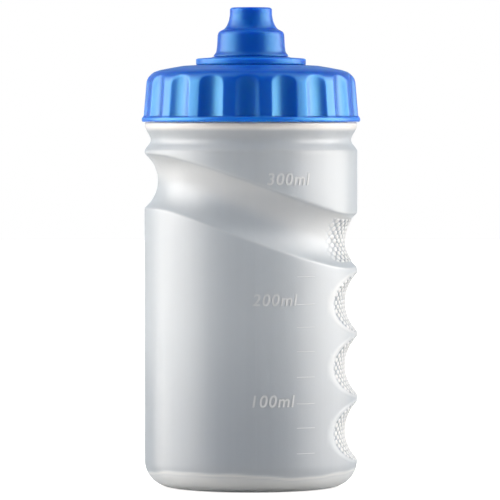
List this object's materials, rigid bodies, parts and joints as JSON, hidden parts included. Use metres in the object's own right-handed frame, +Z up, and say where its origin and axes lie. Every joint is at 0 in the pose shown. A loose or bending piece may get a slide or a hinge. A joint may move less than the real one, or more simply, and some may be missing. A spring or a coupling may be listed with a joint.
{
  "type": "sports squeeze bottle",
  "caption": "Squeezable frosted drinks bottle with a wrapped grip band and finger pockets, a fluted screw lid and a pull-up drinking nozzle.",
  "frame": {"origin": "centre of the standing ring, on the plane the bottle stands on", "axes": "+Z up along the bottle's axis, +X towards the side with the three finger pockets, -Y towards the side with the volume marks to its right"},
  "size_m": [0.0688, 0.0686, 0.1505],
  "materials": {
    "frosted_body": "satin frosted polyethylene, translucent",
    "blue_lid": "glossy moulded polypropylene",
    "seal": "soft matt foam ring",
    "blue_spout": "glossy moulded polypropylene",
    "blue_nozzle": "glossy moulded polypropylene"
  },
  "bodies": {
    "bottle": {"bottle_body": "frosted_body"},
    "seal": {"lid_gasket": "seal"},
    "lid": {"screw_lid": "blue_lid", "spout_base": "blue_spout"},
    "nozzle": {"pull_nozzle": "blue_nozzle"}
  },
  "joints": [
    {"name": "lid_rise", "type": "slide", "parent": "bottle", "child": "seal", "axis": [0, 0, 1], "range_m": [0, 0.024]},
    {"name": "lid_turn", "type": "hinge", "parent": "seal", "child": "lid", "pos_m": [0, 0, 0.12], "axis": [0, 0, 1], "range_deg": [0, 1440]},
    {"name": "nozzle_pull", "type": "slide", "parent": "lid", "child": "nozzle", "axis": [0, 0, 1], "range_m": [0, 0.0048]}
  ],
  "couplings": [
    {"joint": "lid_rise", "follows": "lid_turn", "m_per_rad": 0.00095493}
  ]
}
